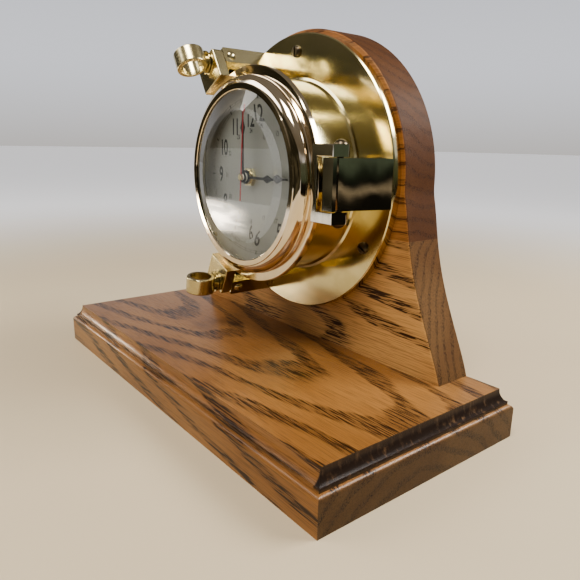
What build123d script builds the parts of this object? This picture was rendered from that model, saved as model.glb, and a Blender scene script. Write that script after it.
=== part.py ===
from build123d import *
import os
from math import asin, cos, radians, sin

# Ships deck clock on an oak stand. Millimetres, +Z up, the dial faces -Y.
# The origin is the centre of the base's underside.
# "Stand-off" is the distance in front of the upright's face, along the clock's axis.

os.makedirs("parts", exist_ok=True)

UP = (Align.CENTER, Align.CENTER, Align.MIN)
DOWN = (Align.CENTER, Align.CENTER, Align.MAX)

# ---------------------------------------------------------------- sizes: oak stand
BASE_LENGTH = 266.5
BASE_DEPTH = 126.0
BASE_HEIGHT = 25.0
TOP_INSET = 5.4
COVE_INSET = 2.8
FILLET_INSET = 2.2
ROUND_START = 14.3
FILLET_LOW = 17.0
FILLET_HIGH = 18.6
COVE_TOP = 24.4

UPRIGHT_REAR_Y = 58.0
UPRIGHT_THICKNESS = 23.2
FACE_Y = UPRIGHT_REAR_Y - UPRIGHT_THICKNESS
CLOCK_Z = 120.0
UPRIGHT_TOP_R = 79.5
UPRIGHT_FOOT_HALF = 109.0
UPRIGHT_EDGE_R = 0.8
FLARE = ((102.0, -77.5), (95.6, -63.0), (89.4, -47.0), (84.4, -28.0), (80.9, -10.0))
GLUE_LINE_Z = 92.4

STAND_SCREW_XS = (-72.0, 0.0, 72.0)
STAND_SCREW_Y = (FACE_Y + UPRIGHT_REAR_Y) / 2
STAND_SCREW_HEAD_R = 4.5
STAND_SCREW_SHANK_R = 2.2
STAND_SCREW_HEAD_H = 3.0
STAND_SCREW_LENGTH = 57.0
STAND_SCREW_RECESS = 1.0

# ---------------------------------------------------------------- sizes: brass case
FLANGE_R = 77.0
FLANGE_T = 4.9
FLANGE_BEVEL = 0.6
FLANGE_SCREW_R = 67.6
WOOD_SCREW_HEAD_R = 3.2
WOOD_SCREW_HEAD_H = 1.7
WOOD_SCREW_SHANK_R = 1.9
WOOD_SCREW_DEPTH = 16.0
WOOD_SCREW_DOME = 1.3
SCREW_SLOT_W = 0.9
DRUM_R = 52.2
DRUM_BORE_R = 50.2
DRUM_FRONT = 36.0
ROOT_FILLET = 1.8
FIXING_SCREW_R = 1.6
FIXING_SCREW_HEAD_R = 3.2
FIXING_SCREW_HEAD_H = 1.6
FIXING_SCREW_LENGTH = 13.0

# ---------------------------------------------------------------- sizes: bezel, glass and hinge
BEZEL_R = 58.0
BEZEL_REAR = 33.4
BEZEL_BORE_R = 52.6
BEZEL_STEP = 36.6
BEZEL_RING_FRONT = 36.8
BEZEL_LIP_FRONT = 44.5
BEZEL_LIP_R = 48.2
BEZEL_OPENING_R = 45.2
BEZEL_EDGE = 0.4
SHOULDER_FOOT = (52.9, 37.4)
SHOULDER_MIDDLE = (51.9, 42.2)
SEAT_R = 49.0
CRYSTAL_R = 46.8
CRYSTAL_BACK = 42.2
CRYSTAL_EDGE = 1.0
CRYSTAL_FRONT = 46.2
BEVEL_INNER_R = 35.0
GASKET_R = 47.7
GASKET_FRONT = 43.65
RETAINER_BACK = 41.0
RETAINER_BORE_R = 45.2

HINGE_X = 65.5
HINGE_S = 30.0
HINGE_PIN_R = 1.6
HINGE_HEAD_R = 3.4
HINGE_HEAD_H = 2.3
RUNNING = 0.05
LEAF_FRONT = 38.0
LEAF_INNER_X = 54.2
LEAF_OUTER_X = 69.0
LEAF_SLOT_X = 57.8
LEAF_HALF_H = 18.4
LEAF_SLOT_HALF_H = 12.75
LEAF_BEVEL = 0.35
KNUCKLE_R = 4.4
ARM_HALF_H = 12.2
ARM_OUTLINE = (
    (60.5, FLANGE_T), (75.9, FLANGE_T), (68.3, 33.5), (68.9, 35.2),
    (68.3, 37.0), (61.3, 37.0), (60.5, 36.2),
)
ARM_SCREWS = ((68.0, 7.0), (68.0, -7.0))

# ---------------------------------------------------------------- sizes: the two swing-bolt dogs
DOG_ANGLES = {"upper": 120, "lower": 245}
NUT_TURNS = {"upper": 0, "lower": 17}
DOG_R = 71.3
DOG_PIVOT_S = 30.0
LUG_HALF_T = 8.75
LUG_HALF_R = 4.75
LUG_FRONT = 34.9
LUG_CORNER_R = 1.2
LUG_SLOT_HALF = 2.75
LUG_SLOT_S = 25.5
PIVOT_R = 1.75
PIVOT_HEAD_R = 2.9
PIVOT_HEAD_H = 1.6
EYE_R = 4.2
EYE_HALF_T = 2.6
SHANK_R = 2.25
SHANK_END = 45.9
SHANK_BEVEL = 0.4
EAR_INNER_R = 57.0
EAR_OUTER_R = 74.0
EAR_HALF_T = 9.6
EAR_BACK = 36.0
EAR_FRONT = 42.2
EAR_CORNER_R = 1.5
EAR_EDGE_R = 0.6
WASHER_BACK = 42.55
WASHER_FRONT = 43.45
WASHER_R = 6.2
THREAD_FIT = 0.07
NUT_BOSS_R = 4.4
RING_S = 52.0
RING_R = 8.5
RING_HOLE_R = 6.4
RING_HALF_L = 4.8
RING_EDGE_R = 0.7

# ---------------------------------------------------------------- sizes: dial, hands and movement
DIAL_R = 49.8
DIAL_FRONT = 33.4
DIAL_BACK = 32.6
SEAT_RING_BORE_R = 46.0
SEAT_RING_BACK = 30.6
DIAL_SCREW_R = 48.0
DIAL_SCREW_HEAD_R = 1.2
DIAL_SCREW_HEAD_H = 0.8
DIAL_SCREW_SHANK_R = 0.6
BUSH_R = 3.7
BUSH_FLANGE_R = 6.0
HOUR_PIPE_R = 2.5
CANNON_R = 1.7
SECOND_ARBOR_R = 0.75
BUSH_FRONT = 36.2
BUSH_BACK = 28.0
NUT_ACROSS_FLATS = 9.2
NUT_T = 2.0
DIAL_WASHER_R = 8.0
CASE_SIZE = 56.0
CASE_FRONT = 31.6
CASE_SPLIT = 22.0
CASE_BACK = 14.4
CASE_WALL = 1.4
CASE_PLATE = 1.2
TRAIN_DISTANCE = 12.0
HOUR_HAND_S = 37.0
MINUTE_HAND_S = 38.6
SECOND_HAND_S = 39.9
HAND_T = 0.4
SECOND_HAND_ANGLE = 86.0
SECOND_HAND_TIP = 37.0
SECOND_HAND_TAIL = 13.0
SECOND_HAND_W = 0.5
SECOND_HUB_R = 1.7
SECOND_ARBOR_FRONT = SECOND_HAND_S + 0.7
CAP_R = 1.9
CAP_FRONT = 41.1
CAP_BEVEL = 0.5

SECTION = Plane(origin=(0, FACE_Y, CLOCK_Z), x_dir=(1, 0, 0), z_dir=(0, 0, -1))
CLOCK_AXIS = Axis((0, FACE_Y, CLOCK_Z), (0, -1, 0))


# ---------------------------------------------------------------- helpers
def front(standoff):
    """Plane parallel to the dial at this stand-off, looking out along the clock's axis."""
    return Plane(origin=(0, FACE_Y - standoff, CLOCK_Z), x_dir=(1, 0, 0), z_dir=(0, -1, 0))


def turn(*outline, mode=Mode.ADD):
    """Revolve a closed outline of (radius, stand-off) points about the clock's axis."""
    with BuildSketch(SECTION) as profile:
        with BuildLine():
            Polyline(*outline, close=True)
        make_face()
    revolve(profile.sketch, axis=CLOCK_AXIS, mode=mode)


def ring(inner, outer, back, front_face, mode=Mode.ADD):
    """A plain ring between two radii and two stand-offs; an inner radius of 0 gives a disc."""
    turn((inner, back), (outer, back), (outer, front_face), (inner, front_face), mode=mode)


def countersunk(head_r, head_h, shank_r, length, mode=Mode.ADD):
    """Countersunk screw, or its hole, running along +Z of the current locations."""
    Cone(bottom_radius=head_r, top_radius=shank_r, height=head_h, align=UP, mode=mode)
    Cylinder(radius=shank_r, height=length, align=UP, mode=mode)


def headed_pin(x, standoff, radius, half_length, head_r, head_h):
    """Pin parallel to the row's Z with a domed head at each end, at (x, stand-off)."""
    plane = Plane(origin=(x, FACE_Y - standoff, CLOCK_Z), x_dir=(1, 0, 0), z_dir=(0, -1, 0))
    tip = half_length + head_h
    dome_r = (head_r**2 + head_h**2) / (2 * head_h)
    half_angle = asin(head_r / dome_r) / 2
    shoulder = (dome_r * sin(half_angle), tip - dome_r + dome_r * cos(half_angle))
    with BuildSketch(plane) as profile:
        with BuildLine():
            Polyline((0, -tip), (0, tip))
            ThreePointArc((0, tip), shoulder, (head_r, half_length))
            Polyline((head_r, half_length), (radius, half_length), (radius, -half_length),
                     (head_r, -half_length))
            ThreePointArc((head_r, -half_length), (shoulder[0], -shoulder[1]), (0, -tip))
        make_face()
    revolve(profile.sketch, axis=Axis(plane.origin, plane.y_dir))


def save(piece, node):
    """Name the finished piece and write its STEP file."""
    piece.label = node
    export_step(piece, f"parts/{node}.step")


# ---------------------------------------------------------------- oak stand
def base_section(plane, half_width):
    """The base's moulded cross-section: square below, then round-over, fillet and cove."""
    with BuildSketch(plane) as section:
        with BuildLine():
            Polyline((0, 0), (half_width, 0), (half_width, ROUND_START))
            ThreePointArc(
                (half_width, ROUND_START),
                (half_width - 0.3 * FILLET_INSET, ROUND_START + 0.7 * (FILLET_LOW - ROUND_START)),
                (half_width - FILLET_INSET, FILLET_LOW),
            )
            Polyline(
                (half_width - FILLET_INSET, FILLET_LOW),
                (half_width - FILLET_INSET, FILLET_HIGH),
                (half_width - COVE_INSET, FILLET_HIGH),
            )
            ThreePointArc(
                (half_width - COVE_INSET, FILLET_HIGH),
                (half_width - 0.85 * TOP_INSET, FILLET_HIGH + 0.42 * (COVE_TOP - FILLET_HIGH)),
                (half_width - TOP_INSET, COVE_TOP),
            )
            Polyline((half_width - TOP_INSET, COVE_TOP), (half_width - TOP_INSET, BASE_HEIGHT),
                     (0, BASE_HEIGHT), (0, 0))
        make_face()
        mirror(about=Plane.YZ)
    return section.sketch


with BuildPart() as base_board:
    extrude(base_section(Plane.YZ, BASE_DEPTH / 2), amount=BASE_LENGTH / 2, both=True)
    extrude(base_section(Plane.XZ, BASE_LENGTH / 2), amount=BASE_DEPTH / 2, both=True,
            mode=Mode.INTERSECT)
    with Locations([(x, STAND_SCREW_Y, 0) for x in STAND_SCREW_XS]):
        Cylinder(radius=STAND_SCREW_HEAD_R, height=STAND_SCREW_RECESS, align=UP, mode=Mode.SUBTRACT)
    with Locations([(x, STAND_SCREW_Y, STAND_SCREW_RECESS) for x in STAND_SCREW_XS]):
        countersunk(STAND_SCREW_HEAD_R, STAND_SCREW_HEAD_H, STAND_SCREW_SHANK_R, BASE_HEIGHT,
                    mode=Mode.SUBTRACT)
save(base_board.part, "base_board")

with BuildPart() as stand_screws:
    with Locations([(x, STAND_SCREW_Y, STAND_SCREW_RECESS) for x in STAND_SCREW_XS]):
        countersunk(STAND_SCREW_HEAD_R, STAND_SCREW_HEAD_H, STAND_SCREW_SHANK_R, STAND_SCREW_LENGTH)
save(stand_screws.part, "stand_screws")

with BuildPart() as upright:
    foot = BASE_HEIGHT - CLOCK_Z
    with BuildSketch(front(0)):
        with BuildLine():
            Spline((UPRIGHT_FOOT_HALF, foot), *FLARE, (UPRIGHT_TOP_R, 0),
                   tangents=((-0.3, 1), (0, 1)))
            mirror(about=Plane.YZ)
            ThreePointArc((UPRIGHT_TOP_R, 0), (0, UPRIGHT_TOP_R), (-UPRIGHT_TOP_R, 0))
            Line((UPRIGHT_FOOT_HALF, foot), (-UPRIGHT_FOOT_HALF, foot))
        make_face()
    extrude(amount=-UPRIGHT_THICKNESS)
    outline_edges = upright.edges().filter_by(lambda e: abs(e.tangent_at(0.5).Y) < 0.5)
    fillet(outline_edges.filter_by(lambda e: e.center().Z > BASE_HEIGHT + 1), UPRIGHT_EDGE_R)
    with BuildSketch(front(0)):
        with PolarLocations(FLANGE_SCREW_R, 3, 90):
            Circle(WOOD_SCREW_SHANK_R)
    extrude(amount=-(WOOD_SCREW_DEPTH - FLANGE_T), mode=Mode.SUBTRACT)
    with Locations([(x, STAND_SCREW_Y, STAND_SCREW_RECESS) for x in STAND_SCREW_XS]):
        Cylinder(radius=STAND_SCREW_SHANK_R, height=STAND_SCREW_LENGTH, align=UP,
                 mode=Mode.SUBTRACT)

with BuildPart() as upright_lower_board:
    add(upright.part)
    split(bisect_by=Plane.XY.offset(GLUE_LINE_Z), keep=Keep.BOTTOM)
save(upright_lower_board.part, "upright_lower_board")

with BuildPart() as upright_upper_board:
    add(upright.part)
    split(bisect_by=Plane.XY.offset(GLUE_LINE_Z), keep=Keep.TOP)
save(upright_upper_board.part, "upright_upper_board")

# ---------------------------------------------------------------- brass case
LUG_SCREWS = [
    (DOG_R * cos(radians(angle)), DOG_R * sin(radians(angle))) for angle in DOG_ANGLES.values()
]
FIXING_SCREWS = [*LUG_SCREWS, *ARM_SCREWS]

with BuildPart(front(0)) as mounting_flange:
    turn((DRUM_R, 0), (FLANGE_R, 0), (FLANGE_R, FLANGE_T - FLANGE_BEVEL),
         (FLANGE_R - FLANGE_BEVEL, FLANGE_T), (DRUM_R, FLANGE_T))
    with PolarLocations(FLANGE_SCREW_R, 3, 90):
        Cylinder(radius=WOOD_SCREW_SHANK_R, height=FLANGE_T, align=UP, mode=Mode.SUBTRACT)
    with Locations(FIXING_SCREWS):
        countersunk(FIXING_SCREW_HEAD_R, FIXING_SCREW_HEAD_H, FIXING_SCREW_R, FLANGE_T,
                    mode=Mode.SUBTRACT)
save(mounting_flange.part, "mounting_flange")

with BuildPart(front(FLANGE_T)) as flange_screws:
    with PolarLocations(FLANGE_SCREW_R, 3, 90):
        Cylinder(radius=WOOD_SCREW_HEAD_R, height=WOOD_SCREW_HEAD_H, align=UP)
        Cylinder(radius=WOOD_SCREW_SHANK_R, height=WOOD_SCREW_DEPTH, align=DOWN)
    fillet(flange_screws.edges().group_by(Axis.Y)[0], WOOD_SCREW_DOME)
    with PolarLocations(FLANGE_SCREW_R, 3, 90):
        with Locations((0, 0, WOOD_SCREW_HEAD_H)):
            Box(3 * WOOD_SCREW_HEAD_R, SCREW_SLOT_W, WOOD_SCREW_DOME, mode=Mode.SUBTRACT)
save(flange_screws.part, "flange_screws")

with BuildPart() as case_drum:
    turn((DRUM_BORE_R, 0), (DRUM_R, 0), (DRUM_R, FLANGE_T), (DRUM_R + ROOT_FILLET, FLANGE_T),
         (DRUM_R + 0.3 * ROOT_FILLET, FLANGE_T + 0.3 * ROOT_FILLET), (DRUM_R, FLANGE_T + ROOT_FILLET),
         (DRUM_R, DRUM_FRONT), (DRUM_BORE_R, DRUM_FRONT))
save(case_drum.part, "case_drum")

with BuildPart() as hinge_arm:
    with BuildSketch(SECTION):
        with BuildLine():
            Polyline(*ARM_OUTLINE, close=True)
        make_face()
        with Locations((HINGE_X, HINGE_S)):
            Circle(HINGE_PIN_R, mode=Mode.SUBTRACT)
    extrude(amount=ARM_HALF_H, both=True)
    with BuildSketch(front(0)):
        with Locations(ARM_SCREWS):
            Circle(FIXING_SCREW_R)
    extrude(amount=FIXING_SCREW_LENGTH, mode=Mode.SUBTRACT)
save(hinge_arm.part, "hinge_arm")

with BuildPart() as hinge_pin:
    headed_pin(HINGE_X, HINGE_S, HINGE_PIN_R, LEAF_HALF_H + RUNNING, HINGE_HEAD_R, HINGE_HEAD_H)
save(hinge_pin.part, "hinge_pin")

with BuildPart(front(0)) as lug_fixing_screws:
    with Locations(FIXING_SCREWS):
        countersunk(FIXING_SCREW_HEAD_R, FIXING_SCREW_HEAD_H, FIXING_SCREW_R, FIXING_SCREW_LENGTH)
save(lug_fixing_screws.part, "lug_fixing_screws")

# ---------------------------------------------------------------- bezel
with BuildPart() as bezel_ring:
    with BuildSketch(SECTION):
        with BuildLine():
            lip_edge = (BEZEL_LIP_R + BEZEL_EDGE, BEZEL_LIP_FRONT - BEZEL_EDGE)
            Polyline((BEZEL_BORE_R, BEZEL_REAR), (BEZEL_R - BEZEL_EDGE, BEZEL_REAR),
                     (BEZEL_R, BEZEL_REAR + BEZEL_EDGE), (BEZEL_R, BEZEL_RING_FRONT - BEZEL_EDGE),
                     (BEZEL_R - BEZEL_EDGE, BEZEL_RING_FRONT),
                     (SHOULDER_FOOT[0] + BEZEL_EDGE, BEZEL_RING_FRONT), SHOULDER_FOOT)
            ThreePointArc(SHOULDER_FOOT, SHOULDER_MIDDLE, lip_edge)
            Polyline(lip_edge, (BEZEL_LIP_R, BEZEL_LIP_FRONT),
                     (BEZEL_OPENING_R + BEZEL_EDGE, BEZEL_LIP_FRONT),
                     (BEZEL_OPENING_R, BEZEL_LIP_FRONT - BEZEL_EDGE), (BEZEL_OPENING_R, GASKET_FRONT),
                     (GASKET_R, GASKET_FRONT), (GASKET_R, CRYSTAL_BACK), (SEAT_R, CRYSTAL_BACK),
                     (SEAT_R, BEZEL_STEP), (BEZEL_BORE_R, BEZEL_STEP), (BEZEL_BORE_R, BEZEL_REAR))
        make_face()
    revolve(axis=CLOCK_AXIS)
save(bezel_ring.part, "bezel_ring")

with BuildPart() as crystal:
    turn((0, CRYSTAL_BACK), (CRYSTAL_R, CRYSTAL_BACK), (CRYSTAL_R, CRYSTAL_BACK + CRYSTAL_EDGE),
         (BEVEL_INNER_R, CRYSTAL_FRONT), (0, CRYSTAL_FRONT))
save(crystal.part, "crystal")

with BuildPart() as crystal_gasket:
    ring(CRYSTAL_R, GASKET_R, CRYSTAL_BACK, GASKET_FRONT)
save(crystal_gasket.part, "crystal_gasket")

with BuildPart() as crystal_retaining_ring:
    ring(RETAINER_BORE_R, SEAT_R, RETAINER_BACK, CRYSTAL_BACK)
save(crystal_retaining_ring.part, "crystal_retaining_ring")

with BuildPart() as hinge_leaf:
    with BuildSketch(front(BEZEL_RING_FRONT)):
        with Locations(((LEAF_INNER_X + LEAF_OUTER_X) / 2, 0)):
            Rectangle(LEAF_OUTER_X - LEAF_INNER_X, 2 * LEAF_HALF_H)
        with Locations((LEAF_SLOT_X, 0)):
            Rectangle(2 * (LEAF_OUTER_X - LEAF_SLOT_X), 2 * LEAF_SLOT_HALF_H,
                      align=(Align.MIN, Align.CENTER), mode=Mode.SUBTRACT)
    extrude(amount=LEAF_FRONT - BEZEL_RING_FRONT)
    chamfer(hinge_leaf.faces().sort_by(Axis.Y)[0].outer_wire().edges(), LEAF_BEVEL)
    with BuildSketch(SECTION.offset(LEAF_SLOT_HALF_H)):
        with Locations((HINGE_X, HINGE_S)):
            Circle(KNUCKLE_R)
        with Locations((HINGE_X - KNUCKLE_R, HINGE_S)):
            Rectangle(LEAF_OUTER_X - HINGE_X + KNUCKLE_R, BEZEL_RING_FRONT - HINGE_S,
                      align=(Align.MIN, Align.MIN))
    extrude(amount=LEAF_HALF_H - LEAF_SLOT_HALF_H)
    mirror(about=Plane.XY.offset(CLOCK_Z))
    with BuildSketch(SECTION):
        with Locations((HINGE_X, HINGE_S)):
            Circle(HINGE_PIN_R + RUNNING)
    extrude(amount=LEAF_HALF_H, both=True, mode=Mode.SUBTRACT)
save(hinge_leaf.part, "hinge_leaf")

# ---------------------------------------------------------------- dogs, built at 3 o'clock
with BuildPart() as lug:
    with BuildSketch(SECTION):
        with Locations((DOG_R, FLANGE_T)):
            Rectangle(2 * LUG_HALF_R, LUG_FRONT - FLANGE_T, align=(Align.CENTER, Align.MIN))
        with Locations((DOG_R, DOG_PIVOT_S)):
            Circle(PIVOT_R, mode=Mode.SUBTRACT)
    extrude(amount=LUG_HALF_T, both=True)
    fillet(lug.faces().sort_by(Axis.Y)[0].edges().filter_by(Axis.Z), LUG_CORNER_R)
    with BuildSketch(SECTION):
        with Locations((DOG_R, LUG_SLOT_S)):
            Rectangle(4 * LUG_HALF_R, 2 * LUG_HALF_R, align=(Align.CENTER, Align.MIN))
    extrude(amount=LUG_SLOT_HALF, both=True, mode=Mode.SUBTRACT)
    with BuildSketch(front(0)):
        with Locations((DOG_R, 0)):
            Circle(FIXING_SCREW_R)
    extrude(amount=FIXING_SCREW_LENGTH, mode=Mode.SUBTRACT)

with BuildPart() as pivot_pin:
    headed_pin(DOG_R, DOG_PIVOT_S, PIVOT_R, LUG_HALF_T, PIVOT_HEAD_R, PIVOT_HEAD_H)

with BuildPart() as bolt:
    with BuildSketch(SECTION):
        with Locations((DOG_R, DOG_PIVOT_S)):
            Circle(EYE_R)
    extrude(amount=EYE_HALF_T, both=True)
    with BuildSketch(front(DOG_PIVOT_S)):
        with Locations((DOG_R, 0)):
            Circle(SHANK_R)
    extrude(amount=SHANK_END - DOG_PIVOT_S)
    chamfer(bolt.edges().group_by(Axis.Y)[0], SHANK_BEVEL)
    with BuildSketch(SECTION):
        with Locations((DOG_R, DOG_PIVOT_S)):
            Circle(PIVOT_R + RUNNING)
    extrude(amount=EYE_R, both=True, mode=Mode.SUBTRACT)

with BuildPart() as washer:
    with BuildSketch(front(WASHER_BACK)):
        with Locations((DOG_R, 0)):
            Circle(WASHER_R)
            Circle(SHANK_R + THREAD_FIT, mode=Mode.SUBTRACT)
    extrude(amount=WASHER_FRONT - WASHER_BACK)

RING_PLANE = Plane(origin=(DOG_R, FACE_Y - RING_S, CLOCK_Z), x_dir=(0, 0, 1), z_dir=(1, 0, 0))

with BuildPart() as eye_nut:
    with BuildSketch(RING_PLANE):
        Circle(RING_R)
    extrude(amount=RING_HALF_L, both=True)
    fillet(eye_nut.edges().filter_by(GeomType.CIRCLE), RING_EDGE_R)
    with BuildSketch(front(WASHER_FRONT)):
        with Locations((DOG_R, 0)):
            Circle(NUT_BOSS_R)
    extrude(amount=RING_S - RING_HOLE_R - WASHER_FRONT + 1)
    with BuildSketch(RING_PLANE):
        Circle(RING_HOLE_R)
    extrude(amount=2 * RING_HALF_L, both=True, mode=Mode.SUBTRACT)
    with BuildSketch(front(WASHER_FRONT)):
        with Locations((DOG_R, 0)):
            Circle(SHANK_R + THREAD_FIT)
    extrude(amount=NUT_BOSS_R, mode=Mode.SUBTRACT)

with BuildPart() as ear:
    with BuildSketch(front(EAR_BACK)):
        with Locations(((EAR_INNER_R + EAR_OUTER_R) / 2, 0)):
            Rectangle(EAR_OUTER_R - EAR_INNER_R, 2 * EAR_HALF_T)
        with Locations((DOG_R, 0)):
            Circle(LUG_SLOT_HALF, mode=Mode.SUBTRACT)
            Rectangle(2 * LUG_SLOT_HALF, 2 * LUG_SLOT_HALF, align=(Align.MIN, Align.CENTER),
                      mode=Mode.SUBTRACT)
    extrude(amount=EAR_FRONT - EAR_BACK)
    outer_corners = ear.edges().filter_by(Axis.Y).group_by(Axis.X)[-1]
    fillet(outer_corners.filter_by(lambda e: abs(e.center().Z - CLOCK_Z) > EAR_HALF_T - 1),
           EAR_CORNER_R)
    fillet(ear.faces().sort_by(Axis.Y)[0].edges(), EAR_EDGE_R)
    ring(0, BEZEL_R, 0, BEZEL_RING_FRONT, mode=Mode.SUBTRACT)

DOG_PIECES = {
    "dog_lug": lug.part,
    "dog_pivot_pin": pivot_pin.part,
    "dog_bolt": bolt.part,
    "dog_washer": washer.part,
    "dog_nut": eye_nut.part,
    "bezel_ear": ear.part,
}
BOLT_AXIS = Axis((DOG_R, FACE_Y, CLOCK_Z), (0, -1, 0))
for side, angle in DOG_ANGLES.items():
    for name, piece in DOG_PIECES.items():
        if name == "dog_nut":
            piece = piece.rotate(BOLT_AXIS, NUT_TURNS[side])
        save(piece.rotate(CLOCK_AXIS, angle), f"{name}_{side}")

# ---------------------------------------------------------------- dial
DIAL_SCREW_ANGLES = (45, 225)
DIAL_SCREW_POINTS = [
    (DIAL_SCREW_R * cos(radians(a)), DIAL_SCREW_R * sin(radians(a))) for a in DIAL_SCREW_ANGLES
]

with BuildPart(front(DIAL_BACK)) as dial_plate:
    ring(BUSH_R, DIAL_R, DIAL_BACK, DIAL_FRONT)
    with Locations(DIAL_SCREW_POINTS):
        Cylinder(radius=DIAL_SCREW_SHANK_R, height=CASE_FRONT, mode=Mode.SUBTRACT)
save(dial_plate.part, "dial_plate")

with BuildPart(front(DIAL_BACK)) as dial_seat_ring:
    ring(SEAT_RING_BORE_R, DRUM_BORE_R, SEAT_RING_BACK, DIAL_BACK)
    with Locations(DIAL_SCREW_POINTS):
        Cylinder(radius=DIAL_SCREW_SHANK_R, height=CASE_FRONT, mode=Mode.SUBTRACT)
save(dial_seat_ring.part, "dial_seat_ring")

with BuildPart(front(DIAL_FRONT)) as dial_screws:
    with Locations(DIAL_SCREW_POINTS):
        Cylinder(radius=DIAL_SCREW_HEAD_R, height=DIAL_SCREW_HEAD_H, align=UP)
        Cylinder(radius=DIAL_SCREW_SHANK_R, height=DIAL_FRONT - SEAT_RING_BACK, align=DOWN)
save(dial_screws.part, "dial_screws")

# ---------------------------------------------------------------- quartz movement
with BuildPart(front(CASE_SPLIT)) as movement_case_front:
    Box(CASE_SIZE, CASE_SIZE, CASE_FRONT - CASE_SPLIT, align=UP)
    Box(CASE_SIZE - 2 * CASE_WALL, CASE_SIZE - 2 * CASE_WALL, CASE_FRONT - CASE_SPLIT - CASE_PLATE,
        align=UP, mode=Mode.SUBTRACT)
    Cylinder(radius=BUSH_R, height=4 * BUSH_R, align=UP, mode=Mode.SUBTRACT)
save(movement_case_front.part, "movement_case_front")

KNOB_SHAFT_R = 1.5
KNOB_R = 5.0
KNOB_FRONT = 13.8
KNOB_BACK = 10.8
KNOB_NOTCHES = 12
KNOB_NOTCH_R = 0.6

with BuildPart(front(CASE_SPLIT)) as movement_case_back:
    Box(CASE_SIZE, CASE_SIZE, CASE_SPLIT - CASE_BACK, align=DOWN)
    Box(CASE_SIZE - 2 * CASE_WALL, CASE_SIZE - 2 * CASE_WALL, CASE_SPLIT - CASE_BACK - CASE_PLATE,
        align=DOWN, mode=Mode.SUBTRACT)
    with Locations((0, TRAIN_DISTANCE)):
        Cylinder(radius=KNOB_SHAFT_R + RUNNING, height=CASE_SPLIT, align=DOWN, mode=Mode.SUBTRACT)
save(movement_case_back.part, "movement_case_back")

with BuildPart() as movement_bush:
    ring(HOUR_PIPE_R + RUNNING, BUSH_R, BUSH_BACK, BUSH_FRONT)
    ring(HOUR_PIPE_R + RUNNING, BUSH_FLANGE_R, BUSH_BACK, CASE_FRONT - CASE_PLATE)
save(movement_bush.part, "movement_bush")

with BuildPart() as dial_washer:
    ring(BUSH_R, DIAL_WASHER_R, CASE_FRONT, DIAL_BACK)
save(dial_washer.part, "dial_washer")

with BuildPart() as movement_nut:
    with BuildSketch(front(DIAL_FRONT)):
        RegularPolygon(radius=NUT_ACROSS_FLATS / 2, side_count=6, major_radius=False)
        Circle(BUSH_R, mode=Mode.SUBTRACT)
    extrude(amount=NUT_T)
save(movement_nut.part, "movement_nut")

# Motion work: 12 teeth drive 36, and 10 teeth drive 40, so the hour hand turns at a twelfth.
MINUTE_MODULE = 0.5
HOUR_MODULE = 0.48
CANNON_TEETH = 12
MOTION_WHEEL_TEETH = 36
MOTION_PINION_TEETH = 10
HOUR_WHEEL_TEETH = 40
TRAIN_ANGLE = 90.0
MOTION_WHEEL_BACK = 22.6
MOTION_WHEEL_T = 1.0
HOUR_WHEEL_BACK = 24.2


def gear(back, thickness, centre, teeth, module, first_tooth):
    """Straight-flanked spur gear with its first tooth at this angle."""
    pitch_r = teeth * module / 2
    root_r = pitch_r - 1.1 * module
    tooth_h = 1.9 * module
    with BuildSketch(front(back)) as outline:
        with Locations(centre):
            Circle(root_r)
            with PolarLocations(root_r + tooth_h / 2 - 0.1, teeth, first_tooth):
                Trapezoid(1.95 * module, tooth_h, 70, rotation=-90)
    extrude(outline.sketch, amount=thickness)


with BuildPart() as cannon_pinion:
    gear(MOTION_WHEEL_BACK - 0.2, 1.6, (0, 0), CANNON_TEETH, MINUTE_MODULE, TRAIN_ANGLE)
    ring(0, CANNON_R, MOTION_WHEEL_BACK - 0.6, MINUTE_HAND_S + HAND_T + 0.3)
    ring(0, SECOND_ARBOR_R + RUNNING, 0, RING_S, mode=Mode.SUBTRACT)
save(cannon_pinion.part, "cannon_pinion")

with BuildPart() as hour_wheel:
    gear(HOUR_WHEEL_BACK, 1.0, (0, 0), HOUR_WHEEL_TEETH, HOUR_MODULE, TRAIN_ANGLE)
    ring(0, HOUR_PIPE_R, HOUR_WHEEL_BACK, HOUR_HAND_S + HAND_T + 0.4)
    ring(0, CANNON_R + RUNNING, 0, RING_S, mode=Mode.SUBTRACT)
save(hour_wheel.part, "hour_wheel")

with BuildPart() as motion_wheel:
    gear(MOTION_WHEEL_BACK, MOTION_WHEEL_T, (0, TRAIN_DISTANCE), MOTION_WHEEL_TEETH, MINUTE_MODULE,
         TRAIN_ANGLE + 180 + 180 / MOTION_WHEEL_TEETH)
    gear(MOTION_WHEEL_BACK + MOTION_WHEEL_T, 2.0, (0, TRAIN_DISTANCE), MOTION_PINION_TEETH,
         HOUR_MODULE, TRAIN_ANGLE + 180 + 180 / MOTION_PINION_TEETH)
    with BuildSketch(front(KNOB_BACK)):
        with Locations((0, TRAIN_DISTANCE)):
            Circle(KNOB_SHAFT_R)
    extrude(amount=MOTION_WHEEL_BACK - KNOB_BACK)
save(motion_wheel.part, "motion_wheel")

with BuildPart() as setting_knob:
    with BuildSketch(front(KNOB_BACK)):
        with Locations((0, TRAIN_DISTANCE)):
            Circle(KNOB_R)
            Circle(KNOB_SHAFT_R, mode=Mode.SUBTRACT)
            with PolarLocations(KNOB_R, KNOB_NOTCHES):
                Circle(KNOB_NOTCH_R, mode=Mode.SUBTRACT)
    extrude(amount=KNOB_FRONT - KNOB_BACK)
save(setting_knob.part, "setting_knob")

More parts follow.
